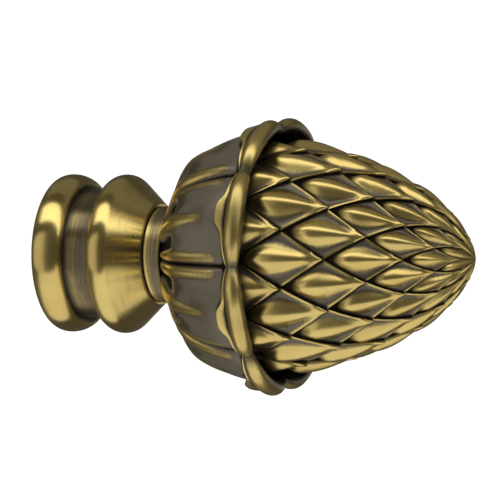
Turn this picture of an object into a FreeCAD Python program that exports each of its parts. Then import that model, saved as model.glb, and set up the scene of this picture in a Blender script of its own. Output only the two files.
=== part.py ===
import FreeCAD, Part
import math
import os

import Sketcher

# Curtain pole finial: a turned collar that slips over the pole's end, and a cast head with a plain neck, a
# calyx of eight petals and a cone of overlapping scales. The axis is +Z and the socket's mouth lies on z = 0.
# All sizes are in millimetres, all angles in degrees.

SIZES = {
    # Pole socket in the collar
    "pole_diameter": 25.0,
    "pole_play": 0.5,
    "socket_depth": 16.5,
    "mouth_chamfer": 0.6,
    # Turned outside of the collar, from the mouth up
    "bead_radius": 18.15,
    "bead_foot_radius": 15.5,
    "mouth_bead_length": 7.1,
    "waist_radius": 14.65,
    "waist_length": 6.1,
    "upper_bead_length": 6.3,
    "taper_length": 5.4,
    "taper_end_radius": 11.5,
    # Plain neck at the foot of the head
    "neck_radius": 10.95,
    "neck_length": 4.45,
    # Screw from the socket into the head
    "screw_radius": 2.5,
    "screw_hole_play": 0.3,
    "thread_play": 0.05,
    "screw_head_radius": 4.6,
    "screw_head_height": 3.2,
    "screw_head_play": 0.7,
    "screw_head_recess": 4.2,
    "screw_key_width": 3.0,
    "screw_key_depth": 1.8,
    "screw_reach": 11.0,
    "screw_hole_spare": 3.0,
    # Grub screw in the bead at the mouth
    "grub_radius": 2.0,
    "grub_length": 4.2,
    "grub_setback": 1.0,
    "grub_key_width": 2.0,
    "grub_key_depth": 2.0,
    # Calyx, heights taken from the end of the neck
    "petal_count": 8,
    "petal_turn": -62.5,
    "calyx_foot_radius": 9.8,
    "shoulder_radius": 23.4,
    "shoulder_rise": 7.5,
    "shoulder_fullness": 0.9,
    "groove_depth": 1.3,
    "lip_radius": 31.6,
    "lip_rise": 25.0,
    "lip_half_length": 2.1,
    "lip_half_thickness": 1.9,
    "lip_edge_length": 0.45,
    "lobe_length": 1.75,
    "notch_radius": 28.9,
    "notch_rise": 24.35,
    "notch_half_length": 1.2,
    "notch_half_thickness": 0.9,
    "cup_radius": 26.3,
    "cup_floor_rise": 19.2,
    "root_gap": 1.7,
    # Cone of scales, heights taken from the end of the neck
    "cone_radius": 24.6,
    "cone_rise": 23.15,
    "cone_length": 47.1,
    "scale_rows": 6,
    "scales_round": 12,
    "scale_turn": -88.5,
    "scale_step": 0.75,
    "scale_crown": 0.85,
}

# Straight cuts that turn each bead's oval section, and the power that moves the mouth bead's crest to the mouth.
BEAD_CUTS = 5
MOUTH_BEAD_SKEW = 1.29
# Place of the grub screw as a share of the mouth bead's length.
GRUB_PLACE = 0.43
# Shape of the cone's outline at the share s of its length: (1 - s ** FULLNESS) ** BLUNTNESS, with a swell of
# TIP_SWELL * s ** TIP_POWER * (1 - s) that makes its tip blunt.
FULLNESS = 2.05
BLUNTNESS = 0.76
TIP_SWELL = 0.7
TIP_POWER = 6
# Rows of scales lie closer towards the tip by this power, and their relief falls off by the next one.
ROW_CROWDING = 1.6
RELIEF_FALL = 0.7
# Places across a petal, from groove to groove, where its sections are drawn.
PETAL_SECTIONS = (-1.0, -0.88, -0.5, 0.0, 0.5, 0.88, 1.0)
# How sharply the groove between two petals falls away, and how sharply the lips narrow to their notches.
GROOVE_POWER = 5
LIP_POWER = 3
# Half width of the lobe that hangs from the middle of a lip, as a share of the petal's half width.
LOBE_SPAN = 0.5
# Stations of the flare from the calyx's foot to its shoulder, as shares of rise and of radius.
FLARE = ((0.0, 0.0), (0.066, 0.16), (0.342, 0.478), (0.658, 0.783), (1.0, 1.0))
# Turns round the oval roll of a lip, from its free edge, over its crest and down inside the cup.
LIP_TURNS = (30.0, 65.0, 105.0, 145.0, 190.0, 235.0)
# The thin edge that hangs from the roll reaches out, and its seat on the petal in, by these shares of the
# roll's half thickness. The seat lies higher than the edge by a share of the roll's half length.
EDGE_REACH = 0.5
SEAT_REACH = 0.57
SEAT_RISE = 0.15
# Places along each side of a scale where its surface is set.
SCALE_GRID = (0.0, 0.3, 0.7, 1.0)
SEW_TOLERANCE = 0.001
# A facet with less than this area is left out.
FLAT_AREA = 1e-9

doc = FreeCAD.newDocument("finial")
sheet = doc.addObject("Spreadsheet::Sheet", "Sizes")
for row, (name, number) in enumerate(SIZES.items(), start=1):
    sheet.set(f"A{row}", name)
    sheet.set(f"B{row}", str(number))
    sheet.setAlias(f"B{row}", name)
doc.recompute()


class Size:
    """A length that keeps its number and the expression that binds it to the sheet."""

    def __init__(self, value, text):
        self.value = value
        self.text = text

    def join(self, other, sign, value):
        text = other.text if isinstance(other, Size) else str(other)
        return Size(value, f"({self.text} {sign} {text})")

    def __add__(self, other):
        return self.join(other, "+", self.value + number_of(other))

    def __sub__(self, other):
        return self.join(other, "-", self.value - number_of(other))

    def __mul__(self, other):
        return self.join(other, "*", self.value * number_of(other))

    def __truediv__(self, other):
        return self.join(other, "/", self.value / number_of(other))


def number_of(size):
    return size.value if isinstance(size, Size) else float(size)


NUMBERS = {name: float(sheet.get(name)) for name in SIZES}


def size(name):
    return Size(NUMBERS[name], f"Sizes.{name}")


def bind(feature, **sizes):
    """Binds a feature's properties to the sheet."""
    for name, value in sizes.items():
        feature.setExpression(name, value.text)


def place(feature, height, turn=None):
    """Lifts a feature along Z by a bound height, after an optional fixed turn."""
    if turn is not None:
        feature.Placement = FreeCAD.Placement(FreeCAD.Vector(), turn)
    feature.setExpression("Placement.Base.z", height.text)


# Sizes worked out from the driving ones

ZERO = size("pole_diameter") * 0
bore_radius = (size("pole_diameter") + size("pole_play")) / 2
waist_start = size("mouth_bead_length")
waist_end = waist_start + size("waist_length")
taper_start = waist_end + size("upper_bead_length")
taper_end = taper_start + size("taper_length")
neck_end = taper_end + size("neck_length")
recess_end = size("socket_depth") + size("screw_head_recess")
screw_hole_radius = size("screw_radius") + size("screw_hole_play")
recess_radius = size("screw_head_radius") + size("screw_head_play")
grub_height = size("mouth_bead_length") * GRUB_PLACE
grub_hole_radius = size("grub_radius") + size("thread_play")
bead_swell = size("bead_radius") - size("bead_foot_radius")


def bead_corners(start, length, skew=1.0):
    """Corners of a bead's oval section, turned in short straight cuts from foot to foot."""
    corners = []
    for cut in range(BEAD_CUTS + 1):
        turn = math.pi * cut / BEAD_CUTS
        height = start + length * ((1 - math.cos(turn)) / 2) ** skew
        corners.append((size("bead_foot_radius") + bead_swell * math.sin(turn), height))
    return corners


# Collar: one turned profile, then the tapped cross hole

def find_plane(body, role):
    for feature in body.Origin.OriginFeatures:
        if feature.Role == role:
            return feature
    raise RuntimeError(f"no plane {role}")


def new_sketch(body, name):
    sketch = body.newObject("Sketcher::SketchObject", name)
    sketch.AttachmentSupport = [(find_plane(body, "XZ_Plane"), "")]
    sketch.MapMode = "FlatFace"
    return sketch


def fix_point(sketch, edge, corner, across, up):
    """Ties one corner of a sketch edge to its distances from the axis and from the mouth."""
    for kind, distance in (("DistanceX", across), ("DistanceY", up)):
        if distance.value == 0:
            axis = -2 if kind == "DistanceX" else -1
            sketch.addConstraint(Sketcher.Constraint("PointOnObject", edge, corner, axis))
            continue
        index = sketch.addConstraint(Sketcher.Constraint(kind, -1, 1, edge, corner, distance.value))
        sketch.setExpression(f"Constraints[{index}]", distance.text)


def draw_profile(sketch, corners):
    """Draws a closed profile of straight lines from corners (radius, height)."""
    points = [FreeCAD.Vector(across.value, up.value, 0) for across, up in corners]
    for start, end in zip(points, points[1:] + points[:1]):
        sketch.addGeometry(Part.LineSegment(start, end), False)
    for index, (across, up) in enumerate(corners):
        after = (index + 1) % len(corners)
        sketch.addConstraint(Sketcher.Constraint("Coincident", index, 2, after, 1))
        fix_point(sketch, index, 1, across, up)


collar = doc.addObject("PartDesign::Body", "collar")
turned_profile = new_sketch(collar, "turned_profile")
outside = [(bore_radius + size("mouth_chamfer"), ZERO)]
outside.extend(bead_corners(ZERO, size("mouth_bead_length"), MOUTH_BEAD_SKEW))
outside.append((size("waist_radius"), waist_start))
outside.append((size("waist_radius"), waist_end))
# The upper bead runs into the taper before its second foot
outside.extend(bead_corners(waist_end, size("upper_bead_length"))[:-1])
outside.append((size("taper_end_radius"), taper_end))
inside = [
    (screw_hole_radius, taper_end),
    (screw_hole_radius, recess_end),
    (recess_radius, recess_end),
    (recess_radius, size("socket_depth")),
    (bore_radius, size("socket_depth")),
    (bore_radius, size("mouth_chamfer")),
]
draw_profile(turned_profile, outside + inside)
turning = collar.newObject("PartDesign::Revolution", "turning")
turning.Profile = turned_profile
turning.ReferenceAxis = (turned_profile, ["V_Axis"])
turning.Angle = 360.0
doc.recompute()
turned_volume = collar.Shape.Volume

cross_hole_profile = new_sketch(collar, "cross_hole_profile")
cross_hole_profile.addGeometry(Part.Circle(FreeCAD.Vector(0, grub_height.value, 0),
                                           FreeCAD.Vector(0, 0, 1), grub_hole_radius.value), False)
fix_point(cross_hole_profile, 0, 3, ZERO, grub_height)
hole_size = cross_hole_profile.addConstraint(Sketcher.Constraint("Radius", 0, grub_hole_radius.value))
cross_hole_profile.setExpression(f"Constraints[{hole_size}]", grub_hole_radius.text)
cross_hole = collar.newObject("PartDesign::Pocket", "cross_hole")
cross_hole.Profile = cross_hole_profile
cross_hole.Type = 0
bind(cross_hole, Length=size("bead_radius") + size("grub_radius"))
doc.recompute()
if not collar.Shape.Volume < turned_volume:
    raise RuntimeError("the cross hole cut nothing")


# Screws: plain shanks with a hexagon socket

def hexagon(name, width, depth):
    """Prism for a hexagon key of a given width across its flats."""
    prism = doc.addObject("Part::Prism", name)
    prism.Polygon = 6
    bind(prism, Circumradius=width / math.sqrt(3), Height=depth)
    return prism


def boolean(kind, name, base, tool):
    result = doc.addObject(kind, name)
    result.Base = base
    result.Tool = tool
    return result


screw_head = doc.addObject("Part::Cylinder", "screw_head")
bind(screw_head, Radius=size("screw_head_radius"), Height=size("screw_head_height"))
place(screw_head, recess_end - size("screw_head_height"))
screw_shank = doc.addObject("Part::Cylinder", "screw_shank")
shank_length = taper_end + size("screw_reach") - recess_end
bind(screw_shank, Radius=size("screw_radius"), Height=shank_length)
place(screw_shank, recess_end)
screw_blank = boolean("Part::Fuse", "screw_blank", screw_head, screw_shank)
screw_key = hexagon("screw_key", size("screw_key_width"), size("screw_key_depth"))
place(screw_key, recess_end - size("screw_head_height"))
fixing_screw = boolean("Part::Cut", "fixing_screw", screw_blank, screw_key)

# The grub screw lies along +Y, its outer end a little below the bead's crest.
ALONG_Y = FreeCAD.Rotation(FreeCAD.Vector(1, 0, 0), -90)
grub_outer_end = size("bead_radius") - size("grub_setback")
grub_shank = doc.addObject("Part::Cylinder", "grub_shank")
bind(grub_shank, Radius=size("grub_radius"), Height=size("grub_length"))
place(grub_shank, grub_height, ALONG_Y)
grub_shank.setExpression("Placement.Base.y", (grub_outer_end - size("grub_length")).text)
grub_key = hexagon("grub_key", size("grub_key_width"), size("grub_key_depth"))
place(grub_key, grub_height, ALONG_Y)
grub_key.setExpression("Placement.Base.y", (grub_outer_end - size("grub_key_depth")).text)
grub_screw = boolean("Part::Cut", "grub_screw", grub_shank, grub_key)


# Head: the petals and the scales are laid out in facets and sewn to one solid

def polar(radius, angle, height):
    turn = math.radians(angle)
    return FreeCAD.Vector(radius * math.cos(turn), radius * math.sin(turn), height)


FOOT = neck_end.value
PETAL_PITCH = 360.0 / NUMBERS["petal_count"]
SCALE_PITCH = 360.0 / NUMBERS["scales_round"]
ROWS = int(NUMBERS["scale_rows"])


def petal_section(across):
    """Stations (radius, height) of a petal's section, from its foot over its lip to the cup's floor."""
    middle = 1 - abs(across) ** LIP_POWER
    groove = NUMBERS["groove_depth"] * abs(across) ** GROOVE_POWER

    def between(at_notch, at_middle):
        return NUMBERS[at_notch] + (NUMBERS[at_middle] - NUMBERS[at_notch]) * middle

    half_length = between("notch_half_length", "lip_half_length")
    half_thickness = between("notch_half_thickness", "lip_half_thickness")
    lip_height = FOOT + between("notch_rise", "lip_rise")
    lip_centre = between("notch_radius", "lip_radius") - half_thickness
    lobe = NUMBERS["lobe_length"] * max(0.0, 1 - abs(across) / LOBE_SPAN)
    edge_height = lip_height - half_length - NUMBERS["lip_edge_length"] * middle - lobe
    stations = []
    flare_width = NUMBERS["shoulder_radius"] - NUMBERS["calyx_foot_radius"]
    for rise, spread in FLARE:
        radius = NUMBERS["calyx_foot_radius"] + spread * flare_width - groove * min(1.0, 2 * spread)
        stations.append((radius, FOOT + rise * NUMBERS["shoulder_rise"]))
    lip = [
        (lip_centre - SEAT_REACH * half_thickness, edge_height + SEAT_RISE * half_length),
        (lip_centre + EDGE_REACH * half_thickness, edge_height),
    ]
    for turn in LIP_TURNS:
        angle = math.radians(turn)
        lip.append((lip_centre + half_thickness * math.sin(angle), lip_height - half_length * math.cos(angle)))
    shoulder = stations[-1]
    seat = lip[0]
    radius = (shoulder[0] + seat[0]) / 2 + NUMBERS["shoulder_fullness"]
    stations.append((radius, (shoulder[1] + seat[1]) / 2))
    stations.extend(lip)
    stations.append((NUMBERS["cup_radius"], FOOT + NUMBERS["cup_floor_rise"]))
    return stations


def petal_grid(number):
    """Points of one petal, one line for each section from groove to groove."""
    grid = []
    for across in PETAL_SECTIONS:
        angle = NUMBERS["petal_turn"] + (number + across / 2) * PETAL_PITCH
        grid.append([polar(radius, angle, height) for radius, height in petal_section(across)])
    return grid


def cone_share(row):
    """Share of the cone's length at a row, which need not be whole."""
    return 1 - (1 - row / (ROWS + 1)) ** ROW_CROWDING


def cone_point(row, angle, lift):
    """Point over the cone's outline at a row, lifted along the outline's normal."""
    share = cone_share(row)
    narrowing = max(0.0, 1 - share ** FULLNESS)
    height = FOOT + NUMBERS["cone_rise"] + NUMBERS["cone_length"] * share
    if narrowing < 1e-9:
        return polar(0, angle, height + lift)
    swell = TIP_SWELL * share ** TIP_POWER
    radius = NUMBERS["cone_radius"] * (narrowing ** BLUNTNESS + swell * (1 - share))
    fall = BLUNTNESS * FULLNESS * share ** (FULLNESS - 1) * narrowing ** (BLUNTNESS - 1)
    fall += swell - TIP_SWELL * TIP_POWER * share ** (TIP_POWER - 1) * (1 - share)
    fall *= NUMBERS["cone_radius"]
    slant = math.hypot(fall, NUMBERS["cone_length"])
    return polar(radius + lift * NUMBERS["cone_length"] / slant, angle, height + lift * fall / slant)


def relief(row):
    """Share of the full relief at a row: none on the first row and at the tip."""
    if row <= 0 or row >= ROWS + 1:
        return 0.0
    return (1 - cone_share(row) ** FULLNESS) ** (BLUNTNESS * RELIEF_FALL)


def scale_grid(row, number):
    """Points of one scale: its base lies one row lower, its sides on its row and its tip one row higher.

    The scales of the first row have no lower half: they start from a straight root on that row.
    """
    middle = NUMBERS["scale_turn"] + (number + (0 if row % 2 else 0.5)) * SCALE_PITCH
    base_lift = -NUMBERS["scale_step"] * relief(row - 1)
    tip_lift = NUMBERS["scale_step"] * relief(row + 1)
    crown = NUMBERS["scale_crown"] * relief(max(row, 1))
    grid = []
    for right in SCALE_GRID:
        line = []
        for left in SCALE_GRID:
            aside = (right - left) * SCALE_PITCH / 2
            if row == ROWS and right * left < 1:
                aside /= 1 - right * left
            lift = base_lift * (1 - right) * (1 - left) + tip_lift * right * left
            lift += crown * 16 * right * left * (1 - right) * (1 - left)
            at_row = right * left if row == 0 else row - 1 + right + left
            line.append(cone_point(at_row, middle + aside, lift))
        grid.append(line)
    return grid


def facets(grid):
    """Triangles over a grid of points, split along the grid's diagonal, without those of no width."""
    triangles = []
    for line, next_line in zip(grid, grid[1:]):
        for corner, along, across, far in zip(line, line[1:], next_line, next_line[1:]):
            triangles.append((corner, across, far))
            triangles.append((corner, far, along))
    faces = []
    for triangle in triangles:
        first, second, third = triangle
        if (second - first).cross(third - first).Length > FLAT_AREA:
            faces.append(Part.Face(Part.makePolygon([first, second, third, first])))
    return faces


def polygon_face(points):
    return Part.Face(Part.makePolygon(points + [points[0]]))


def head_faces():
    faces = []
    foot = []
    cup_edge = []
    for number in range(int(NUMBERS["petal_count"])):
        petal = petal_grid(number)
        faces.extend(facets(petal))
        foot.extend(section[0] for section in petal[:-1])
        cup_edge.extend(section[-1] for section in petal[:-1])
    faces.append(polygon_face(foot))
    # Scales row by row, each with the two narrow walls from its free edges down to the scales above it
    root = []
    for row in range(ROWS + 1):
        for number in range(int(NUMBERS["scales_round"])):
            scale = scale_grid(row, number)
            faces.extend(facets(scale))
            if row < ROWS:
                right_above = scale_grid(row + 1, number + (1 if row % 2 == 0 else 0))
                left_above = scale_grid(row + 1, number - (0 if row % 2 == 0 else 1))
                faces.extend(facets([scale[-1], right_above[0]]))
                faces.extend(facets([[line[-1] for line in scale], [line[0] for line in left_above]]))
            if row == 0:
                root.extend(reversed(scale[0][1:]))
                root.extend(line[0] for line in scale[:-1])
    # Root of the cone down to the cup's floor, where it keeps clear of the petals, and the floor round it
    narrowing = (NUMBERS["cup_radius"] - NUMBERS["root_gap"]) / NUMBERS["cone_radius"]
    floor_height = FOOT + NUMBERS["cup_floor_rise"]
    low_root = [FreeCAD.Vector(point.x * narrowing, point.y * narrowing, floor_height) for point in root]
    faces.extend(facets([root + root[:1], low_root + low_root[:1]]))
    faces.append(polygon_face(cup_edge).cut(polygon_face(low_root)).Faces[0])
    return faces


shell = Part.makeShell(head_faces())
shell.sewShape(SEW_TOLERANCE)
casting_shape = Part.makeSolid(shell)
if casting_shape.Volume < 0:
    casting_shape.reverse()
casting = doc.addObject("Part::Feature", "casting")
casting.Shape = casting_shape

neck = doc.addObject("Part::Cylinder", "neck")
bind(neck, Radius=size("neck_radius"), Height=size("neck_length"))
place(neck, taper_end)
necked_casting = boolean("Part::Fuse", "necked_casting", casting, neck)
tapped_hole = doc.addObject("Part::Cylinder", "tapped_hole")
tapped_depth = size("screw_reach") + size("screw_hole_spare")
bind(tapped_hole, Radius=size("screw_radius") + size("thread_play"), Height=tapped_depth)
place(tapped_hole, taper_end)
cone_head = boolean("Part::Cut", "cone_head", necked_casting, tapped_hole)
doc.recompute()


# Checks and files

SUB_PARTS = (collar, cone_head, fixing_screw, grub_screw)
for feature in doc.Objects:
    if "Invalid" in feature.State or "Error" in feature.State:
        raise RuntimeError(f"{feature.Label} failed: {feature.State}")
os.makedirs("parts", exist_ok=True)
for part in SUB_PARTS:
    part.Label = part.Name
    shape = part.Shape
    if shape.isNull() or not shape.isValid() or len(shape.Solids) != 1 or shape.Volume <= 0:
        raise RuntimeError(f"{part.Label} is not one valid solid")
for part in SUB_PARTS:
    part.Shape.exportStep(f"parts/{part.Label}.step")
    print(part.Label, round(part.Shape.Volume, 1), "mm3")
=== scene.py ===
import math

import bmesh
import bpy
import numpy as np
from mathutils import Matrix, Vector


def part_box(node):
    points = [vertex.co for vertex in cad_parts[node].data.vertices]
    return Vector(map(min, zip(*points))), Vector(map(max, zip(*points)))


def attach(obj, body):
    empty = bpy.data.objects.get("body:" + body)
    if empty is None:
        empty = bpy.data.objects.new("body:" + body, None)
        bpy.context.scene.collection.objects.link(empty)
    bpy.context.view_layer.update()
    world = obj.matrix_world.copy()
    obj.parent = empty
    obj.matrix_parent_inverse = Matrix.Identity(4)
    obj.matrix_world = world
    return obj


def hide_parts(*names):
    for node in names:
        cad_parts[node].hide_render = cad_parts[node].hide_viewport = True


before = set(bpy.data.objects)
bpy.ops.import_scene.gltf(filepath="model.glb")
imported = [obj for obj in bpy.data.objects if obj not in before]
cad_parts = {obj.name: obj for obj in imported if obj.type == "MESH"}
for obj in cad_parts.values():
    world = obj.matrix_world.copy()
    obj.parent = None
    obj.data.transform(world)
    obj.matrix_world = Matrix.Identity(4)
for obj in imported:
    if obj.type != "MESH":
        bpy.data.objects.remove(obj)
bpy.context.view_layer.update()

# Antique brass curtain pole finial. The axis is +Z and the socket's mouth lies on z = 0. Forms are worked
# out in millimetres from the same sizes as the solids, and MM turns them into the frame's metres.

MM = 0.001
COLLAR_LOW, COLLAR_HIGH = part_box("collar")

# Collar
COLLAR_TOP = COLLAR_HIGH.z / MM
BEAD_RADIUS = 18.15
BEAD_FOOT_RADIUS = 15.5
MOUTH_BEAD_END = 7.1
MOUTH_BEAD_SKEW = 1.29
WAIST_RADIUS = 14.65
WAIST_END = 13.2
UPPER_BEAD_END = 19.5
# Turn round the upper bead at which it runs into the taper, in degrees
TAPER_TURN = 140.0
TAPER_END_RADIUS = 11.5
BORE_RADIUS = 12.75
MOUTH_CHAMFER = 0.6
SOCKET_DEPTH = 16.5
RECESS_RADIUS = 5.3
RECESS_END = 20.7
SCREW_HOLE_RADIUS = 2.8
GRUB_PLACE = 0.43
GRUB_HEIGHT = GRUB_PLACE * MOUTH_BEAD_END
GRUB_HOLE_RADIUS = 2.05
COUNTERSINK_DEPTH = 0.45
CUTTER_OVERRUN = 1.0
EDGE_ROUND = 0.2
# Share of patina on the collar, more of it in the waist, and of painted shade in the socket
COLLAR_PATINA = 0.22
WAIST_PATINA = 0.32
WAIST_PATINA_GAIN = 0.33
WAIST_BLEND = 0.3
SOCKET_PAINTED_SHADE = 0.55

# Neck and calyx
NECK_RADIUS = 10.95
TAPPED_RADIUS = 2.55
TAPPED_DEPTH = 14.0
FOOT = 29.35
PETALS = 8
PETAL_TURN = -62.5
CALYX_FOOT_RADIUS = 9.8
SHOULDER_RADIUS = 23.4
SHOULDER_RISE = 7.5
SHOULDER_FULLNESS = 0.9
GROOVE_DEPTH = 1.3
GROOVE_POWER = 5
FLARE_RISE = (0.0, 0.066, 0.342, 0.658, 1.0)
FLARE_SPREAD = (0.0, 0.16, 0.478, 0.783, 1.0)
LIP_POWER = 3
LIP_RADIUS, NOTCH_RADIUS = 31.6, 28.9
LIP_RISE, NOTCH_RISE = 25.0, 24.35
LIP_HALF_LENGTH, NOTCH_HALF_LENGTH = 2.1, 1.2
LIP_HALF_THICKNESS, NOTCH_HALF_THICKNESS = 1.9, 0.9
LIP_EDGE_LENGTH = 0.45
LOBE_LENGTH = 1.75
LOBE_WIDTH = 0.3
EDGE_REACH = 0.5
SEAT_REACH = 0.57
SEAT_RISE = 0.15
ROLL_START, ROLL_END = 26.0, 235.0
CUP_RADIUS = 26.3
CUP_FLOOR_RISE = 19.2
NECK_PATINA = 0.72
# Relief of a petal in millimetres. Places along it are 0 at its foot, 1 at its shoulder and 2 at its lip.
# Places across it are 0 in its middle and 1 at its edges. Pairs are the start and the end of a ramp.
ROLLED_EDGE_HEIGHT = 0.4
ROLLED_EDGE_PLACE, ROLLED_EDGE_WIDTH = 0.83, 0.11
ROLLED_EDGE_START, ROLLED_EDGE_STOP = (0.1, 0.5), (1.7, 2.0)
CUT_DEPTH = 0.5
CUT_WIDTH = 0.055
CUT_START = (0.02, 0.3)
RIB_HEIGHT = 0.7
RIB_WIDTH, RIB_FOOT_WIDTH = 0.05, 0.16
RIB_NARROWING = (0.4, 1.9)
RIB_START, RIB_STOP = (0.03, 0.18), (0.9, 1.9)
POCKET_DEPTH = 1.2
POCKET_START, POCKET_STOP = (0.0, 0.2), (0.8, 1.1)
POCKET_INNER, POCKET_OUTER = (0.2, 0.36), (0.58, 0.72)
# Finish of a petal: the share of bare brass on edges, ribs and lips, where it starts and fades along
# an edge, and where the painted shade at the foot ends
STROKE_BARE = 0.9
LIP_BARE = 0.4
STROKE_START = (0.2, 0.5)
STROKE_FADE = (0.9, 1.9)
FOOT_PAINTED_SHADE = (0.05, 0.4)
FIELD_PATINA = 1.2
BARE_GAIN = 1.1

# Cone of scales
CONE_RADIUS = 24.6
CONE_RISE = 23.15
CONE_LENGTH = 47.1
FULLNESS = 2.05
BLUNTNESS = 0.76
TIP_SWELL = 0.7
TIP_POWER = 6
ROWS = 6
SCALES = 12
SCALE_TURN = -88.5
SCALE_STEP = 0.75
BULGE_HEIGHT = 1.75
FLANK_DEPTH = 0.3
MARGIN_HEIGHT = 0.12
VALLEY_DEPTH = 0.1
# Drop on a scale: how far it reaches aside at its ends and more in between, and how much its keel falls
DROP_REACH, DROP_SWELL = 0.1, 0.62
DROP_LEAN = 0.6
DROP_ROUNDNESS = 1.8
KEEL_FALL = 0.75
FLANK_PATINA = 0.72
CREST_GAIN = 0.55
HOLLOW_PAINTED_SHADE = 0.85
ROW_CROWDING = 1.6
RELIEF_FALL = 0.7

# How finely the forms are drawn. Both rings round the cup have the same number of points.
TURNS = 384
PETAL_COLUMNS = TURNS // PETALS
SCALE_STEPS = TURNS // SCALES // 2
FLARE_STEPS = 26
SLOPE_STEPS = 18
EDGE_STEPS = 12
ROLL_STEPS = 32
LIP_STEPS = EDGE_STEPS + ROLL_STEPS
CUP_STEPS = 6
WALL_STEPS = 3
BEAD_STEPS = 28
HOLE_STEPS = 48
# Edges are sharp where faces meet at more than these angles, in degrees
COLLAR_SHARP_ANGLE = 50
HEAD_SHARP_ANGLE = 62


def ramp(value, low, high):
    """Smooth step from 0 at low to 1 at high."""
    share = np.clip((value - low) / (high - low), 0.0, 1.0)
    return share * share * (3 - 2 * share)


def bump(value, centre, width):
    """Bell curve of height 1 round a centre."""
    return np.exp(-((value - centre) / width) ** 2)


def polar(radius, angle, height):
    turn = np.radians(angle)
    return np.stack([radius * np.cos(turn), radius * np.sin(turn), height + 0 * turn], axis=-1)


# Mesh building

class Surface:
    """Collects grids of points with their patina and painted shade, and welds them to one mesh."""

    def __init__(self):
        self.points = []
        self.patina = []
        self.painted_shade = []
        self.faces = []
        self.count = 0

    def grid(self, points, patina, painted_shade, closed=False):
        """Adds a grid of points with its faces. A closed grid joins its last line to its first one."""
        lines, length = points.shape[:2]
        numbers = self.count + np.arange(lines * length).reshape(lines, length)
        self.points.append(points.reshape(-1, 3))
        self.patina.append(np.broadcast_to(patina, (lines, length)).ravel())
        self.painted_shade.append(np.broadcast_to(painted_shade, (lines, length)).ravel())
        self.count += lines * length
        if closed:
            numbers = np.vstack([numbers, numbers[:1]])
        corners = (numbers[:-1, :-1], numbers[1:, :-1], numbers[1:, 1:], numbers[:-1, 1:])
        self.faces.append(np.stack(corners, axis=-1).reshape(-1, 4))
        return numbers

    def build(self, name, weld=0.002):
        """Makes the object, with points that lie within the weld distance joined."""
        mesh = bpy.data.meshes.new(name)
        points = np.concatenate(self.points) * MM
        faces = np.concatenate(self.faces)
        mesh.from_pydata(points.tolist(), [], faces.tolist())
        for label, parts in (("patina", self.patina), ("painted_shade", self.painted_shade)):
            layer = mesh.attributes.new(label, "FLOAT", "POINT")
            layer.data.foreach_set("value", np.concatenate(parts).astype(np.float32))
        shape = bmesh.new()
        shape.from_mesh(mesh)
        bmesh.ops.remove_doubles(shape, verts=shape.verts, dist=weld * MM)
        bmesh.ops.dissolve_degenerate(shape, edges=shape.edges, dist=weld * MM)
        bmesh.ops.holes_fill(shape, edges=shape.edges, sides=8)
        bmesh.ops.recalc_face_normals(shape, faces=shape.faces)
        shape.to_mesh(mesh)
        shape.free()
        return add_object(name, mesh)


def add_object(name, mesh):
    item = bpy.data.objects.new(name, mesh)
    bpy.context.scene.collection.objects.link(item)
    return item


def finish_surface(item, sharp_angle):
    """Smooth shading with sharp edges where faces meet at more than the angle, and the form's relief."""
    mesh = item.data
    mesh.shade_smooth()
    mesh.set_sharp_from_angle(angle=math.radians(sharp_angle))
    store_relief(mesh)


def store_relief(mesh, rounds=40):
    """Stores how far each point stands above (or below) a smoothed copy of the mesh, in millimetres."""
    count = len(mesh.vertices)
    points = np.empty(count * 3, dtype=np.float32)
    mesh.vertices.foreach_get("co", points)
    points = points.reshape(-1, 3).astype(float)
    normals = np.empty(count * 3, dtype=np.float32)
    mesh.vertices.foreach_get("normal", normals)
    edges = np.empty(len(mesh.edges) * 2, dtype=np.int32)
    mesh.edges.foreach_get("vertices", edges)
    first, second = edges.reshape(-1, 2).T
    ends = np.concatenate([first, second])
    others = np.concatenate([second, first])
    neighbours = np.maximum(np.bincount(ends, minlength=count), 1)
    smooth = points
    for _ in range(rounds):
        sums = [np.bincount(ends, weights=smooth[others, axis], minlength=count) for axis in range(3)]
        smooth = (smooth + np.stack(sums, axis=1) / neighbours[:, None]) / 2
    relief = np.einsum("ij,ij->i", points - smooth, normals.reshape(-1, 3)) / MM
    layer = mesh.attributes.new("relief", "FLOAT", "POINT")
    layer.data.foreach_set("value", relief.astype(np.float32))


# Collar: a lathe section with true oval beads, and the tapped hole for the grub screw

def bead(start, end, skew=1.0, last_turn=180.0):
    """Section (radius, height) of one oval bead from its first foot. The skew moves its crest."""
    turn = np.radians(np.linspace(0, last_turn, BEAD_STEPS))
    radius = BEAD_FOOT_RADIUS + (BEAD_RADIUS - BEAD_FOOT_RADIUS) * np.sin(turn)
    height = start + (end - start) * ((1 - np.cos(turn)) / 2) ** skew
    return list(zip(radius, height))


def straight(start, end, steps):
    """Points from start to end, both with a close neighbour that keeps the edge there crisp."""
    shares = np.concatenate([[0.0, 0.02], np.linspace(0.1, 0.9, steps), [0.98, 1.0]])
    return [(start[0] + (end[0] - start[0]) * s, start[1] + (end[1] - start[1]) * s) for s in shares]


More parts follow.
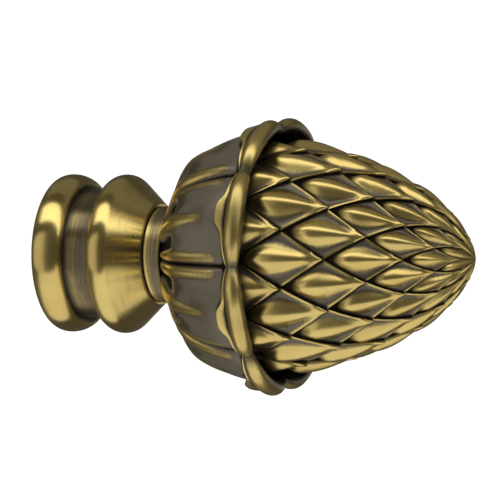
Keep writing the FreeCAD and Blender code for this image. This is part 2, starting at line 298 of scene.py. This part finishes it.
def collar_section():
    """Closed section of the collar with its patina and painted shade at each point."""
    outside = bead(0, MOUTH_BEAD_END, MOUTH_BEAD_SKEW)
    waist_low = (WAIST_RADIUS, MOUTH_BEAD_END + EDGE_ROUND)
    waist_high = (WAIST_RADIUS, WAIST_END - EDGE_ROUND)
    upper_bead = bead(WAIST_END, UPPER_BEAD_END, last_turn=TAPER_TURN)
    taper_high = (TAPER_END_RADIUS + EDGE_ROUND, COLLAR_TOP - EDGE_ROUND)
    outside += [(WAIST_RADIUS + EDGE_ROUND, MOUTH_BEAD_END)]
    outside += straight(waist_low, waist_high, 8)
    outside += [(WAIST_RADIUS + EDGE_ROUND, WAIST_END)]
    outside += upper_bead[:-1]
    outside += straight(upper_bead[-1], taper_high, 8)
    rim = straight((TAPER_END_RADIUS, COLLAR_TOP), (SCREW_HOLE_RADIUS, COLLAR_TOP), 6)
    inside = straight((SCREW_HOLE_RADIUS, COLLAR_TOP), (SCREW_HOLE_RADIUS, RECESS_END), 2)[1:]
    inside += straight((SCREW_HOLE_RADIUS, RECESS_END), (RECESS_RADIUS, RECESS_END), 2)[1:]
    inside += straight((RECESS_RADIUS, RECESS_END), (RECESS_RADIUS, SOCKET_DEPTH), 2)[1:]
    inside += straight((RECESS_RADIUS, SOCKET_DEPTH), (BORE_RADIUS, SOCKET_DEPTH), 4)[1:]
    inside += straight((BORE_RADIUS, SOCKET_DEPTH), (BORE_RADIUS, MOUTH_CHAMFER), 8)[1:]
    inside += [(BORE_RADIUS + MOUTH_CHAMFER, 0.0)]
    section = np.array(outside + rim + inside)
    radius, height = section.T
    # The waist keeps its patina, more of it towards the upper bead
    waist = ramp(height, MOUTH_BEAD_END - WAIST_BLEND, MOUTH_BEAD_END)
    waist = waist * (1 - ramp(height, WAIST_END, WAIST_END + WAIST_BLEND))
    gain = WAIST_PATINA_GAIN * ramp(height, MOUTH_BEAD_END, WAIST_END)
    patina = COLLAR_PATINA + waist * (WAIST_PATINA + gain)
    # Painted shade darkens the creases on either side of the waist and at the top rim, and all of the socket
    # inside
    corner = 0.6 * bump(height, MOUTH_BEAD_END, 0.3) + 0.9 * bump(height, WAIST_END, 0.4)
    corner += bump(height, COLLAR_TOP, 0.35)
    painted_shade = np.clip(corner, 0, 1) * ramp(radius, TAPER_END_RADIUS - 0.5, TAPER_END_RADIUS + 0.5)
    within = np.arange(len(section)) >= len(outside) + len(rim)
    painted_shade = np.where(within, SOCKET_PAINTED_SHADE, painted_shade)
    return section, patina, painted_shade


def make_collar():
    section, patina, painted_shade = collar_section()
    section = np.vstack([section, section[:1]])
    patina = np.append(patina, patina[0])
    painted_shade = np.append(painted_shade, painted_shade[0])
    angles = np.arange(TURNS) * 360 / TURNS
    surface = Surface()
    points = polar(section[None, :, 0], angles[:, None], section[None, :, 1])
    surface.grid(points, patina, painted_shade, closed=True)
    item = surface.build("turned_collar")
    cut_grub_hole(item)
    finish_surface(item, COLLAR_SHARP_ANGLE)
    return item


def cut_grub_hole(item):
    """Cuts the round hole for the grub screw on the +Y side, with a small countersink at the crest."""
    shape = bmesh.new()
    steps = HOLE_STEPS
    stations = ((BORE_RADIUS - 2 * CUTTER_OVERRUN, GRUB_HOLE_RADIUS),
                (BEAD_RADIUS - COUNTERSINK_DEPTH, GRUB_HOLE_RADIUS),
                (BEAD_RADIUS + CUTTER_OVERRUN, GRUB_HOLE_RADIUS + CUTTER_OVERRUN))
    rings = []
    for depth, radius in stations:
        ring = []
        for step in range(steps):
            turn = 2 * math.pi * step / steps
            across = radius * math.cos(turn)
            up = GRUB_HEIGHT + radius * math.sin(turn)
            ring.append(shape.verts.new(Vector((across, depth, up)) * MM))
        rings.append(ring)
    for low, high in zip(rings, rings[1:]):
        for step in range(steps):
            after = (step + 1) % steps
            shape.faces.new((low[step], low[after], high[after], high[step]))
    shape.faces.new(rings[0])
    shape.faces.new(rings[-1])
    bmesh.ops.recalc_face_normals(shape, faces=shape.faces)
    mesh = bpy.data.meshes.new("grub_cutter")
    shape.to_mesh(mesh)
    shape.free()
    cutter = add_object("grub_cutter", mesh)
    cut = item.modifiers.new("grub_hole", "BOOLEAN")
    cut.operation = "DIFFERENCE"
    cut.solver = "EXACT"
    cut.object = cutter
    bpy.context.view_layer.update()
    evaluated = item.evaluated_get(bpy.context.evaluated_depsgraph_get())
    item.data = bpy.data.meshes.new_from_object(evaluated)
    item.modifiers.clear()
    bpy.data.objects.remove(cutter)


# Head: neck, petals and cone in one closed mesh

def edge_curve(seat, edge, joint):
    """Points of a lip's hanging edge: out from its seat, round its rim, and up to a crease."""
    share = np.linspace(0, 1, EDGE_STEPS + 1)[:-1][None, :]
    out = 1 - (1 - ramp(share, 0.0, 0.4)) ** 2
    up = ramp(share, 0.25, 1.0)
    crease = 0.55 * bump(share, 0.93, 0.12)
    radius = seat[0] + (edge[0] - seat[0]) * out + (joint[0] - edge[0]) * up
    radius = radius - crease * np.minimum(1.0, (joint[1] - edge[1]) / 1.5)
    height = seat[1] + (edge[1] - seat[1]) * bump(share, 0.28, 0.2) + (joint[1] - seat[1]) * up
    return radius, height


def petal_stations(across):
    """Points (radius, height) of the petals at each place across, from the foot to the cup's floor."""
    middle = 1 - np.abs(across) ** LIP_POWER
    groove = GROOVE_DEPTH * np.abs(across) ** GROOVE_POWER

    def between(at_notch, at_middle):
        return (at_notch + (at_middle - at_notch) * middle)[:, None]

    rise = np.linspace(0, 1, FLARE_STEPS) ** 1.35
    spread = np.interp(rise, FLARE_RISE, FLARE_SPREAD)
    flare_radius = CALYX_FOOT_RADIUS + spread * (SHOULDER_RADIUS - CALYX_FOOT_RADIUS)
    flare_radius = flare_radius[None, :] - groove[:, None] * np.minimum(1.0, 2 * spread)[None, :]
    flare_height = np.broadcast_to(FOOT + rise * SHOULDER_RISE, flare_radius.shape)
    half_length = between(NOTCH_HALF_LENGTH, LIP_HALF_LENGTH)
    half_thickness = between(NOTCH_HALF_THICKNESS, LIP_HALF_THICKNESS)
    lip_height = FOOT + between(NOTCH_RISE, LIP_RISE)
    lip_centre = between(NOTCH_RADIUS, LIP_RADIUS) - half_thickness
    turn = np.radians(np.linspace(ROLL_START, ROLL_END, ROLL_STEPS))[None, :]
    roll_radius = lip_centre + half_thickness * np.sin(turn)
    roll_height = lip_height - half_length * np.cos(turn)
    # The petal's thin free edge hangs below the roll, with a round lobe in the middle
    lobe = LIP_EDGE_LENGTH * middle + LOBE_LENGTH * np.exp(-(across / LOBE_WIDTH) ** 4)
    edge_height = lip_height - half_length - lobe[:, None]
    seat_at = np.stack([lip_centre - SEAT_REACH * half_thickness, edge_height + SEAT_RISE * half_length])
    edge_at = np.stack([lip_centre + EDGE_REACH * half_thickness, edge_height])
    joint_at = np.stack([roll_radius[:, :1], roll_height[:, :1]])
    edge_radius, edge_heights = edge_curve(seat_at, edge_at, joint_at)
    lip_radius = np.hstack([edge_radius, roll_radius])
    lip_heights = np.hstack([edge_heights, roll_height])
    seat = np.stack([lip_radius[:, 0], lip_heights[:, 0]], axis=1)
    shoulder = np.stack([flare_radius[:, -1], flare_height[:, -1]], axis=1)
    share = np.linspace(0, 1, SLOPE_STEPS + 2)[1:-1][None, :]
    slope_radius = shoulder[:, :1] + (seat[:, :1] - shoulder[:, :1]) * share
    slope_radius = slope_radius + SHOULDER_FULLNESS * 4 * share * (1 - share)
    slope_height = shoulder[:, 1:] + (seat[:, 1:] - shoulder[:, 1:]) * share
    share = np.linspace(0, 1, CUP_STEPS + 1)[1:][None, :]
    cup_radius = lip_radius[:, -1:] + (CUP_RADIUS - lip_radius[:, -1:]) * share
    cup_height = lip_heights[:, -1:] + (FOOT + CUP_FLOOR_RISE - lip_heights[:, -1:]) * share
    radius = np.hstack([flare_radius, slope_radius, lip_radius, cup_radius])
    height = np.hstack([flare_height, slope_height, lip_heights, cup_height])
    return radius, height


def smooth_lines(values, last, rounds):
    """Rounds the corners of each line from its first point to the one numbered last."""
    values = values.copy()
    for _ in range(rounds):
        inner = (values[:, :last - 1] + 2 * values[:, 1:last] + values[:, 2:last + 1]) / 4
        values[:, 1:last] = inner
    return values


def calyx():
    """Grid of all petals with patina and painted shade, one line for each place across."""
    even = np.linspace(-1, 1, PETAL_COLUMNS + 1)[:-1]
    across = 0.45 * even + 0.55 * np.sin(even * math.pi / 2)
    radius, height = petal_stations(across)
    seat = FLARE_STEPS + SLOPE_STEPS
    radius = smooth_lines(radius, seat, 8)
    height = smooth_lines(height, seat, 8)
    along = np.concatenate([np.linspace(0, 1, FLARE_STEPS), np.linspace(1, 2, SLOPE_STEPS + 1)[1:]])
    along = np.concatenate([along, np.full(LIP_STEPS + CUP_STEPS, 2.0)])[None, :]
    outside = np.concatenate([np.ones(seat), np.zeros(LIP_STEPS + CUP_STEPS)])[None, :]
    side = across[:, None]
    edge = np.abs(side)
    # Rolled edges beside each cut between petals, and a rib up the middle of the foot
    roll_length = ramp(along, *ROLLED_EDGE_START) * (1 - ramp(along, *ROLLED_EDGE_STOP)) * outside
    roll_shape = bump(edge, ROLLED_EDGE_PLACE, ROLLED_EDGE_WIDTH)
    cut = bump(edge, 1.0, CUT_WIDTH) * ramp(along, *CUT_START) * outside
    rib_width = RIB_WIDTH + RIB_FOOT_WIDTH * (1 - ramp(along, *RIB_NARROWING))
    rib_length = ramp(along, *RIB_START) * (1 - ramp(along, *RIB_STOP)) * outside
    rib_shape = bump(side, 0, rib_width)
    # Pockets sunk into the foot, between the rib and the rolled edges, which also get painted shade
    pocket = ramp(along, *POCKET_START) * (1 - ramp(along, *POCKET_STOP)) * outside
    pocket = pocket * ramp(edge, *POCKET_INNER) * (1 - ramp(edge, *POCKET_OUTER))
    lift = ROLLED_EDGE_HEIGHT * roll_shape * roll_length + RIB_HEIGHT * rib_shape * rib_length
    lift = lift - CUT_DEPTH * cut - POCKET_DEPTH * pocket
    run = np.gradient(radius, axis=1)
    climb = np.gradient(height, axis=1)
    reach = np.maximum(np.hypot(run, climb), 1e-6)
    radius = radius + lift * climb / reach
    height = height - lift * run / reach
    # Bare brass shows on rolled edges, ribs and lips
    turn = np.linspace(ROLL_START, ROLL_END, ROLL_STEPS)
    edge_share = np.linspace(0, 1, EDGE_STEPS)
    edge_bare = ramp(edge_share, 0.2, 0.4) * (1 - 0.9 * ramp(edge_share, 0.75, 0.95))
    roll_bare = ramp(turn, 26, 50) * (1 - ramp(turn, 150, 200))
    on_lip = np.concatenate([np.zeros(seat), edge_bare, roll_bare, np.zeros(CUP_STEPS)])[None, :]
    strokes = ramp(roll_shape, 0.05, 0.8) * roll_length * (1 - 0.9 * ramp(along, *STROKE_FADE))
    strokes = strokes + ramp(rib_shape, 0.05, 0.7) * rib_length
    strokes = strokes * ramp(along, *STROKE_START)
    bare = np.clip(STROKE_BARE * strokes + LIP_BARE * on_lip, 0, 1)
    patina = FIELD_PATINA - BARE_GAIN * bare
    # Painted shade darkens the cuts, the creases of the lips, the cup, the pockets, the line under the lips
    # and the foot
    crease = bump(edge_share, 0.95, 0.12) + 0.8 * (1 - ramp(edge_share, 0.0, 0.25))
    inner = np.concatenate([np.zeros(seat), crease, ramp(turn, 165, 225), np.ones(CUP_STEPS)])[None, :]
    under_lip = bump(along, 2.0, 0.05) * outside
    root = 1 - ramp(along, *FOOT_PAINTED_SHADE)
    painted_shade = np.clip(0.95 * cut + 0.9 * inner + 0.8 * under_lip + root + pocket, 0, 1)
    lines = []
    for number in range(PETALS):
        angle = PETAL_TURN + (number + side / 2) * 360 / PETALS
        lines.append(polar(radius, angle, height))
    return np.concatenate(lines), np.tile(patina, (PETALS, 1)), np.tile(painted_shade, (PETALS, 1)), across


def neck_section():
    """Section (radius, height) from the end of the tapped hole, round the neck, to the calyx's foot."""
    hole_end = COLLAR_TOP + TAPPED_DEPTH
    section = [(0.0, hole_end)]
    section += straight((TAPPED_RADIUS, hole_end), (TAPPED_RADIUS, COLLAR_TOP), 4)
    section += straight((TAPPED_RADIUS, COLLAR_TOP), (NECK_RADIUS - EDGE_ROUND, COLLAR_TOP), 4)[1:]
    section += straight((NECK_RADIUS, COLLAR_TOP + EDGE_ROUND), (NECK_RADIUS, FOOT - EDGE_ROUND), 10)
    section += straight((NECK_RADIUS - EDGE_ROUND, FOOT), (CALYX_FOOT_RADIUS, FOOT), 2)
    return np.array(section)


def cone_share(row):
    """Share of the cone's length at a row, which need not be whole."""
    return 1 - np.clip(1 - row / (ROWS + 1), 0, 1) ** ROW_CROWDING


def cone_points(row, angle, lift):
    """Points over the cone's outline at the rows, lifted along the outline's normal."""
    share = cone_share(row)
    narrowing = np.maximum(1 - share ** FULLNESS, 1e-9)
    swell = TIP_SWELL * share ** TIP_POWER
    radius = CONE_RADIUS * (narrowing ** BLUNTNESS + swell * (1 - share))
    fall = BLUNTNESS * FULLNESS * np.maximum(share, 1e-9) ** (FULLNESS - 1) * narrowing ** (BLUNTNESS - 1)
    fall = fall + swell - TIP_SWELL * TIP_POWER * share ** (TIP_POWER - 1) * (1 - share)
    slant = np.hypot(fall * CONE_RADIUS, CONE_LENGTH)
    height = FOOT + CONE_RISE + CONE_LENGTH * share
    return polar(radius + lift * CONE_LENGTH / slant, angle, height + lift * fall * CONE_RADIUS / slant)


def relief_share(row):
    """Share of the full relief at a row: none on the first row and at the tip."""
    if row <= 0 or row >= ROWS + 1:
        return 0.0
    return float((1 - cone_share(row) ** FULLNESS) ** (BLUNTNESS * RELIEF_FALL))


def scale_points(row, number):
    """Grid of one scale with its patina and painted shade. Its free edges are its last line and last points.
    """
    even = np.linspace(0, 1, SCALE_STEPS + 1)
    places = 0.45 * even + 0.55 * (1 - np.cos(even * math.pi)) / 2
    right, left = np.meshgrid(places, places, indexing="ij")
    middle = SCALE_TURN + (number + (0 if row % 2 else 0.5)) * 360 / SCALES
    aside = (right - left) * 180 / SCALES
    if row == ROWS:
        aside = aside / np.maximum(1 - right * left, 1e-6)
    at_row = right * left if row == 0 else row - 1 + right + left
    full = relief_share(max(row, 1))
    base = -SCALE_STEP * relief_share(row - 1)
    tip = SCALE_STEP * relief_share(row + 1)
    # A drop-shaped bulge, broad near the base, narrows to a keel that ends at the tip
    low_edge = np.minimum(right, left)
    along = (right + left) / 2
    reach = DROP_REACH + DROP_SWELL * np.sin(math.pi * np.clip(along, 0, 1) ** DROP_LEAN)
    drop = np.cos(math.pi / 2 * np.clip((right - left) / reach, -1, 1)) ** DROP_ROUNDNESS
    drop = drop * ramp(along, 0.03, 0.3) * (1 - KEEL_FALL * ramp(along, 0.4, 1.0)) * ramp(low_edge, 0, 0.2)
    inside = ramp(low_edge, 0, 0.15) * (1 - ramp(np.maximum(right, left), 0.85, 1.0))
    lift = base * (1 - right) * (1 - left) + tip * right * left
    lift = lift + full * (BULGE_HEIGHT * drop - FLANK_DEPTH * inside * (1 - drop))
    # A thin raised margin runs along the two free edges, with a shallow valley inside it
    inwards = 1 - np.maximum(right, left)
    ends = ramp(low_edge, 0.0, 0.12)
    ends = ends * (0 if row == ROWS else 1)
    margin = bump(inwards, 0.045, 0.035) * ends
    valley = bump(inwards, 0.13, 0.05) * ends
    lift = lift + full * (MARGIN_HEIGHT * margin - VALLEY_DEPTH * valley)
    points = cone_points(at_row, middle + aside, lift)
    bare = np.clip(ramp(drop, 0.0, 0.65) + 0.3 * margin, 0, 1)
    patina = FLANK_PATINA - CREST_GAIN * bare
    # Painted shade darkens each scale's base and low edges, where it runs in under the row before; the first
    # row gets less
    hollow = np.maximum(1 - ramp(low_edge, 0.0, 0.18), 1 - ramp(along, 0.08, 0.36))
    painted_shade = HOLLOW_PAINTED_SHADE * hollow * (0.4 if row == 0 else 1)
    return points, patina, painted_shade


def add_cone(surface):
    """Scales row by row, each with walls from its free edges down to the scales above it."""
    shares = np.linspace(0, 1, WALL_STEPS + 1)[:, None, None]
    for row in range(ROWS + 1):
        for number in range(SCALES):
            points, patina, painted_shade = scale_points(row, number)
            surface.grid(points, patina, painted_shade)
            if row == ROWS:
                continue
            above_right = scale_points(row + 1, number + (1 if row % 2 == 0 else 0))[0]
            above_left = scale_points(row + 1, number - (0 if row % 2 == 0 else 1))[0]
            for high, low in ((points[-1], above_right[0]), (points[:, -1], above_left[:, 0])):
                wall = high[None] + (low - high)[None] * shares
                # The walls get painted shade, darker the deeper they reach down
                surface.grid(wall, 0.9, np.linspace(0.1, 1.0, WALL_STEPS + 1)[:, None])


def cone_root():
    """Ring of points where the first scales start, in order round the axis."""
    ring = []
    for number in range(SCALES):
        points = scale_points(0, number)[0]
        ring.extend(points[0, :0:-1])
        ring.extend(points[:-1, 0])
    return np.array(ring)


def make_head():
    surface = Surface()
    petals, patina, painted_shade, across = calyx()
    angles = np.concatenate([PETAL_TURN + (number + across / 2) * 360 / PETALS for number in range(PETALS)])
    neck = neck_section()
    height = neck[:, 1]
    # Painted shade darkens the neck where it meets the collar and the calyx
    neck_painted_shade = np.clip(bump(height, COLLAR_TOP, 0.5) + bump(height, FOOT, 0.7), 0, 1)
    neck_points = polar(neck[None, :, 0], angles[:, None], neck[None, :, 1])
    surface.grid(neck_points, NECK_PATINA, neck_painted_shade, closed=True)
    surface.grid(petals, patina, painted_shade, closed=True)
    add_cone(surface)
    # Root of the cone and the cup's floor round it, turned so that both rings start side by side
    root = cone_root()
    foot = root.copy()
    foot[:, 2] = FOOT + CUP_FLOOR_RISE
    # These rings down in the cup are painted in full shade
    surface.grid(np.stack([foot, root], axis=1), 0.95, 1.0, closed=True)
    rim = petals[:, -1]
    bearing = np.degrees(np.arctan2(foot[:, 1], foot[:, 0]))
    start = np.argmin(np.abs((bearing - angles[0] + 180) % 360 - 180))
    surface.grid(np.stack([rim, np.roll(foot, -start, axis=0)], axis=1), 0.95, 1.0, closed=True)
    item = surface.build("cast_head")
    finish_surface(item, HEAD_SHARP_ANGLE)
    return item


# Materials

class Nodes:
    """Short way to add shader nodes: settings by keyword, inputs by a dictionary of names or numbers."""

    def __init__(self, material):
        material.use_nodes = True
        self.tree = material.node_tree
        self.tree.nodes.clear()

    def add(self, kind, inputs=None, **settings):
        node = self.tree.nodes.new("ShaderNode" + kind)
        for name, value in settings.items():
            setattr(node, name, value)
        for name, value in (inputs or {}).items():
            if isinstance(value, bpy.types.NodeSocket):
                self.tree.links.new(value, node.inputs[name])
            else:
                node.inputs[name].default_value = value
        return node

    def math(self, operation, first, second=0.0, clamp=False):
        return self.add("Math", {0: first, 1: second}, operation=operation, use_clamp=clamp).outputs[0]

    def mix(self, share, first, second):
        node = self.add("Mix", data_type="RGBA")
        for socket, value in ((node.inputs[0], share), (node.inputs[6], first), (node.inputs[7], second)):
            if isinstance(value, bpy.types.NodeSocket):
                self.tree.links.new(value, socket)
            else:
                socket.default_value = value
        return node.outputs[2]

    def spread(self, value, low, high, first=0.0, second=1.0):
        """Maps low to high onto first to second with soft ends."""
        inputs = {"Value": value, "From Min": low, "From Max": high, "To Min": first, "To Max": second}
        return self.add("MapRange", inputs, interpolation_type="SMOOTHSTEP").outputs["Result"]

    def finish(self, shader):
        self.add("OutputMaterial", {"Surface": shader})


BARE_BRASS = (0.79, 0.61, 0.205, 1)
WARM_BRASS = (0.66, 0.46, 0.13, 1)
# Near black, painted into creases, recesses and hollows as shade
PATINA = (0.13, 0.108, 0.072, 1)
PAINTED_SHADE_BLACK = (0.012, 0.009, 0.006, 1)


# Share of a full turn that takes the stretch of reflections from along the turning lines to across them
QUARTER_TURN = 0.25


def antique_brass(name, brush_depth, streaks, roughness, stretch):
    """Brass with dark patina in its hollows, bare metal on its crests, fine lines from turning, and painted
    shade that darkens creases and recesses towards near black.

    stretch is how far the lines draw out reflections across themselves, from 0 to 1.
    """
    material = bpy.data.materials.new(name)
    nodes = Nodes(material)
    place = nodes.add("TexCoord").outputs["Object"]
    axes = nodes.add("SeparateXYZ", {0: place})
    across, along, up = axes.outputs
    squares = nodes.math("ADD", nodes.math("MULTIPLY", across, across), nodes.math("MULTIPLY", along, along))
    radius = nodes.math("SQRT", squares)
    turn = nodes.math("ARCTAN2", along, across)
    # Lines round the axis: fast change along the section and slow change round it
    lines_at = nodes.add("CombineXYZ", {0: nodes.math("MULTIPLY", radius, 1 / MM),
                                        1: nodes.math("MULTIPLY", up, 1 / MM),
                                        2: nodes.math("MULTIPLY", turn, 0.6)}).outputs[0]
    lines = nodes.add("TexNoise", {"Vector": lines_at, "Scale": 2.4, "Detail": 4.0, "Roughness": 0.7})
    lines = lines.outputs[0]
    cloud = nodes.add("TexNoise", {"Vector": place, "Scale": 110.0, "Detail": 4.0}).outputs[0]
    specks = nodes.add("TexNoise", {"Vector": place, "Scale": 900.0, "Detail": 2.0}).outputs[0]
    patina = nodes.add("Attribute", attribute_name="patina").outputs["Fac"]
    painted_shade = nodes.add("Attribute", attribute_name="painted_shade").outputs["Fac"]
    relief = nodes.add("Attribute", attribute_name="relief").outputs["Fac"]
    # Crests are rubbed bright and hollows keep their patina, with an uneven edge between them
    uneven = nodes.math("ADD", nodes.math("MULTIPLY", nodes.math("SUBTRACT", cloud, 0.5), 0.55),
                        nodes.math("MULTIPLY", nodes.math("SUBTRACT", lines, 0.5), streaks))
    crest = nodes.spread(relief, 0.02, 0.28, 0.0, 0.45)
    hollow = nodes.spread(relief, -0.02, -0.3, 0.0, 0.3)
    dark = nodes.math("ADD", patina, uneven)
    dark = nodes.math("ADD", dark, nodes.math("SUBTRACT", hollow, crest), clamp=True)
    warm = nodes.spread(cloud, 0.35, 0.65)
    colour = nodes.mix(nodes.math("MULTIPLY", warm, 0.45), BARE_BRASS, WARM_BRASS)
    colour = nodes.mix(nodes.spread(dark, 0.15, 0.95), colour, PATINA)
    # Painted shade: the stored shade share, made uneven, turns the colour towards near black and makes the
    # surface rough and dull there
    painted_shade_share = nodes.math("ADD", painted_shade, nodes.math("MULTIPLY", nodes.math("SUBTRACT", cloud, 0.5), 0.5))
    painted_shade_share = nodes.spread(painted_shade_share, 0.25, 0.9)
    colour = nodes.mix(painted_shade_share, colour, PAINTED_SHADE_BLACK)
    rough = nodes.spread(dark, 0.1, 0.7, roughness, 0.4)
    rough = nodes.math("ADD", rough, nodes.math("MULTIPLY", specks, 0.04))
    rough = nodes.math("ADD", rough, nodes.math("MULTIPLY", painted_shade_share, 0.35), clamp=True)
    grain = nodes.add("Bump", {"Strength": brush_depth, "Distance": 0.02 * MM, "Height": lines})
    grain = nodes.add("Bump", {"Strength": 0.02, "Distance": 0.03 * MM, "Height": specks,
                               "Normal": grain.outputs[0]})
    metal = nodes.spread(dark, 0.75, 1.0, 1.0, 0.5)
    round_axis = nodes.add("Tangent", direction_type="RADIAL", axis="Z").outputs[0]
    shader = nodes.add("BsdfPrincipled", {"Base Color": colour, "Metallic": metal, "Roughness": rough,
                                          "Anisotropic": stretch, "Anisotropic Rotation": QUARTER_TURN,
                                          "Tangent": round_axis,
                                          "Specular IOR Level": nodes.spread(painted_shade_share, 0.0, 1.0, 0.5, 0.05),
                                          "Coat Weight": nodes.spread(painted_shade_share, 0.0, 1.0, 0.2, 0.0),
                                          "Coat Roughness": 0.15,
                                          "Normal": grain.outputs[0]})
    nodes.finish(shader.outputs[0])
    return material


def screw_steel():
    """Plain steel with fine turning lines and a slight stain."""
    material = bpy.data.materials.new("screw_steel")
    nodes = Nodes(material)
    place = nodes.add("TexCoord").outputs["Object"]
    cloud = nodes.add("TexNoise", {"Vector": place, "Scale": 600.0, "Detail": 4.0}).outputs[0]
    fine = nodes.add("TexNoise", {"Vector": place, "Scale": 4000.0, "Detail": 2.0}).outputs[0]
    colour = nodes.mix(nodes.spread(cloud, 0.35, 0.7), (0.52, 0.51, 0.49, 1), (0.3, 0.28, 0.26, 1))
    grain = nodes.add("Bump", {"Strength": 0.2, "Distance": 0.02 * MM, "Height": fine})
    shader = nodes.add("BsdfPrincipled", {"Base Color": colour, "Metallic": 1.0,
                                          "Roughness": nodes.spread(fine, 0.3, 0.7, 0.25, 0.42),
                                          "Normal": grain.outputs[0]})
    nodes.finish(shader.outputs[0])
    return material


def plain_white(name, colour, glow):
    """Matt white for the floor and the backdrop, with a little light of its own as in a light tent."""
    material = bpy.data.materials.new(name)
    nodes = Nodes(material)
    shader = nodes.add("BsdfPrincipled", {"Base Color": colour, "Roughness": 0.9, "Specular IOR Level": 0.0,
                                          "Emission Color": (1, 1, 1, 1), "Emission Strength": glow})
    nodes.finish(shader.outputs[0])
    return material


def dress(item, material):
    item.data.materials.clear()
    item.data.materials.append(material)
    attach(item, "root")


# Stage, light and camera

# Distance of the light boxes from the axis, in metres
BOX_DISTANCE = 0.55


def make_plane(name, half):
    mesh = bpy.data.meshes.new(name)
    corners = [(-half, -half, 0), (half, -half, 0), (half, half, 0), (-half, half, 0)]
    mesh.from_pydata(corners, [], [(0, 1, 2, 3)])
    return add_object(name, mesh)


def make_stage():
    """Pale floor at the mouth's height and a pale dome. The metal reflects the lamps and not these two."""
    floor = make_plane("floor", 6.0)
    floor.location.z = COLLAR_LOW.z
    floor.data.materials.append(plain_white("floor_white", (0.9, 0.9, 0.9, 1), 0.9))
    shape = bmesh.new()
    bmesh.ops.create_uvsphere(shape, u_segments=48, v_segments=24, radius=5.0)
    mesh = bpy.data.meshes.new("dome")
    shape.to_mesh(mesh)
    shape.free()
    dome = add_object("dome", mesh)
    dome.data.materials.append(plain_white("dome_white", (0.0, 0.0, 0.0, 1), 0.97))
    dome.visible_diffuse = False
    for item in (floor, dome):
        item.visible_glossy = False
        item.visible_shadow = False


def add_box(name, bearing, width, glow, low=-0.45, high=1.6):
    """Light box that faces the axis, from low to high. Bearing turns from -Y (the camera) towards -X."""
    data = bpy.data.lights.new(name, "AREA")
    data.shape = "RECTANGLE"
    data.size = width
    data.size_y = high - low
    data.energy = glow * math.pi * data.size * data.size_y
    lamp = bpy.data.objects.new(name, data)
    bpy.context.scene.collection.objects.link(lamp)
    turn = math.radians(bearing)
    towards = Vector((-math.sin(turn), -math.cos(turn), 0))
    lamp.location = towards * BOX_DISTANCE + Vector((0, 0, (low + high) / 2))
    lamp.rotation_mode = "QUATERNION"
    lamp.rotation_quaternion = towards.to_track_quat("Z", "Y")


def make_lights():
    world = bpy.data.worlds.new("studio")
    bpy.context.scene.world = world
    world.use_nodes = True
    background = world.node_tree.nodes["Background"]
    background.inputs[0].default_value = (1.0, 0.97, 0.93, 1)
    background.inputs[1].default_value = 0.08
    # Tall boxes along the axis: a narrow bright one above it in the picture, a broad one below it,
    # a low one on the camera's side and dim ones behind
    add_box("key", 59, 0.28, 1.6)
    add_box("bounce", -70, 0.98, 0.76)
    add_box("table", 0, 0.6, 0.55, low=-1.5, high=-0.06)
    add_box("back", 180, 0.25, 0.4)
    add_box("fill", 112, 0.4, 0.11)


# Photograph's view: the mouth's centre lies here in pixels of a 500 pixel wide frame
FRAME_PIXELS = 500
FOCAL_PIXELS = 2900
MOUTH_PIXEL = (62.8, 252.7)
PIXEL_SIZE_AT_MOUTH = 0.2308
CAMERA_RISE = 22.0
CAMERA_ROLL = 0.85


def make_camera():
    """Camera on the -Y side, raised, and rolled so that +Z points to the picture's right."""
    rise, roll = math.radians(CAMERA_RISE), math.radians(CAMERA_ROLL)
    right = Vector((-math.sin(roll), math.sin(rise) * math.cos(roll), math.cos(rise) * math.cos(roll)))
    down = Vector((math.cos(roll), math.sin(rise) * math.sin(roll), math.cos(rise) * math.sin(roll)))
    forward = Vector((0, math.cos(rise), -math.sin(rise)))
    half = FRAME_PIXELS / 2
    aside = (MOUTH_PIXEL[0] - half) * PIXEL_SIZE_AT_MOUTH * MM
    below = (MOUTH_PIXEL[1] - half) * PIXEL_SIZE_AT_MOUTH * MM
    depth = FOCAL_PIXELS * PIXEL_SIZE_AT_MOUTH * MM
    data = bpy.data.cameras.new("camera")
    data.sensor_fit = "HORIZONTAL"
    data.lens = data.sensor_width * FOCAL_PIXELS / FRAME_PIXELS
    data.clip_start = 0.01
    data.clip_end = 50
    camera = bpy.data.objects.new("camera", data)
    bpy.context.scene.collection.objects.link(camera)
    turn = Matrix((right, -down, -forward)).transposed()
    place = -(right * aside + down * below + forward * depth)
    camera.matrix_world = Matrix.Translation(place) @ turn.to_4x4()
    bpy.context.scene.camera = camera


# Putting it together

bpy.context.scene.view_settings.view_transform = "Standard"
collar = make_collar()
turned_brass = antique_brass("turned_brass", brush_depth=0.7, streaks=0.8, roughness=0.22, stretch=0.9)
dress(collar, turned_brass)
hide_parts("collar")
head = make_head()
cast_brass = antique_brass("cast_brass", brush_depth=0.4, streaks=0.6, roughness=0.3, stretch=0.0)
dress(head, cast_brass)
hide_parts("cone_head")
steel = screw_steel()
for node in ("fixing_screw", "grub_screw"):
    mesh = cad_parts[node].data
    mesh.materials.clear()
    mesh.materials.append(steel)
make_stage()
make_lights()
make_camera()
